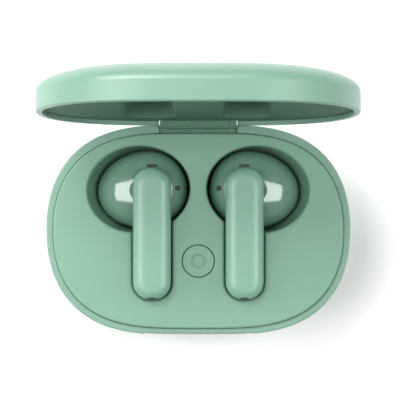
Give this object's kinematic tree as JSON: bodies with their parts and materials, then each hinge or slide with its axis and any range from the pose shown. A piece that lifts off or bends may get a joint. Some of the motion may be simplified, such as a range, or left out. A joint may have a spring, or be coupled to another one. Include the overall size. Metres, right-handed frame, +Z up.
{
  "type": "wireless earbuds case",
  "caption": "Pebble-shaped charging case, open, with a hinged lid, a round button and stem-type earbuds that lift out of their wells.",
  "frame": {"origin": "centre of the flat foot that the case stands on", "axes": "+X to the right, +Y towards the hinge, +Z up"},
  "size_m": [0.06, 0.0512, 0.0595],
  "materials": {
    "case_plastic": "satin, fine moulded texture",
    "deck_plastic": "satin",
    "liner_plastic": "satin",
    "hinge_plastic": "satin",
    "button_plastic": "satin",
    "earbud_gloss": "gloss",
    "stem_satin": "semi-gloss",
    "steel": "brushed",
    "gold": "gold plated",
    "magnet": "nickel plated",
    "board": "solder mask",
    "chip": "moulded epoxy",
    "cell_foil": "laminated foil",
    "flex_film": "polyimide film",
    "foam": "open-cell foam",
    "mesh": "woven mesh",
    "clear": "diffusing clear plastic",
    "led": "gloss"
  },
  "bodies": {
    "base": {"base_shell": "case_plastic", "cradle": "deck_plastic", "hinge_bracket": "hinge_plastic", "hinge_pin": "steel", "bracket_screws": "steel", "base_lid_magnets": "magnet", "button_board": "board", "tact_switch": "chip", "status_led": "led", "led_light_pipe": "clear", "main_board": "board", "board_screws": "steel", "board_components": "chip", "usb_c_receptacle": "steel", "usb_c_tongue": "chip", "battery_cell": "cell_foil", "battery_foam_pad": "foam", "battery_flex": "flex_film", "pogo_block_left": "chip", "pogo_block_right": "chip", "pogo_barrels_left": "gold", "pogo_barrels_right": "gold", "cradle_magnet_left": "magnet", "cradle_magnet_right": "magnet"},
    "lid": {"lid_shell": "case_plastic", "lid_liner": "liner_plastic", "hinge_arm": "hinge_plastic", "arm_screws": "steel", "lid_magnets": "magnet"},
    "button": {"reset_button": "button_plastic"},
    "left_earbud": {"left_body_shell": "earbud_gloss", "left_stem_cover": "stem_satin", "left_ear_shell": "earbud_gloss", "left_nozzle_mesh": "mesh", "left_driver": "steel", "left_coin_cell": "steel", "left_bud_board": "board", "left_touch_pad": "flex_film", "left_charge_contacts": "gold", "left_mic_mesh": "mesh", "left_vent_meshes": "mesh", "left_bud_magnet": "magnet"},
    "right_earbud": {"right_body_shell": "earbud_gloss", "right_stem_cover": "stem_satin", "right_ear_shell": "earbud_gloss", "right_nozzle_mesh": "mesh", "right_driver": "steel", "right_coin_cell": "steel", "right_bud_board": "board", "right_touch_pad": "flex_film", "right_charge_contacts": "gold", "right_mic_mesh": "mesh", "right_vent_meshes": "mesh", "right_bud_magnet": "magnet"},
    "pin_left_front": {"pogo_plunger_left_front": "gold"},
    "pin_left_rear": {"pogo_plunger_left_rear": "gold"},
    "pin_right_front": {"pogo_plunger_right_front": "gold"},
    "pin_right_rear": {"pogo_plunger_right_rear": "gold"}
  },
  "joints": [
    {"name": "lid_hinge", "type": "hinge", "parent": "base", "child": "lid", "pos_m": [0, 0.02075, 0.018], "axis": [1, 0, 0], "range_deg": [0, 93.6]},
    {"name": "button_press", "type": "slide", "parent": "base", "child": "button", "axis": [0, 0, 1], "range_m": [-0.00035, 0], "stiffness_N_per_m": 600, "springref_m": 0.0005},
    {"name": "left_earbud_lift", "type": "slide", "parent": "base", "child": "left_earbud", "axis": [0, 0, -1], "range_m": [-0.03, 0]},
    {"name": "right_earbud_lift", "type": "slide", "parent": "base", "child": "right_earbud", "axis": [0, 0, -1], "range_m": [-0.03, 0]},
    {"name": "pin_left_front_travel", "type": "slide", "parent": "base", "child": "pin_left_front", "axis": [0, 0, 1], "range_m": [-0.0008, 0], "stiffness_N_per_m": 500, "springref_m": 0.0003},
    {"name": "pin_left_rear_travel", "type": "slide", "parent": "base", "child": "pin_left_rear", "axis": [0, 0, 1], "range_m": [-0.0008, 0], "stiffness_N_per_m": 500, "springref_m": 0.0003},
    {"name": "pin_right_front_travel", "type": "slide", "parent": "base", "child": "pin_right_front", "axis": [0, 0, 1], "range_m": [-0.0008, 0], "stiffness_N_per_m": 500, "springref_m": 0.0003},
    {"name": "pin_right_rear_travel", "type": "slide", "parent": "base", "child": "pin_right_rear", "axis": [0, 0, 1], "range_m": [-0.0008, 0], "stiffness_N_per_m": 500, "springref_m": 0.0003}
  ]
}
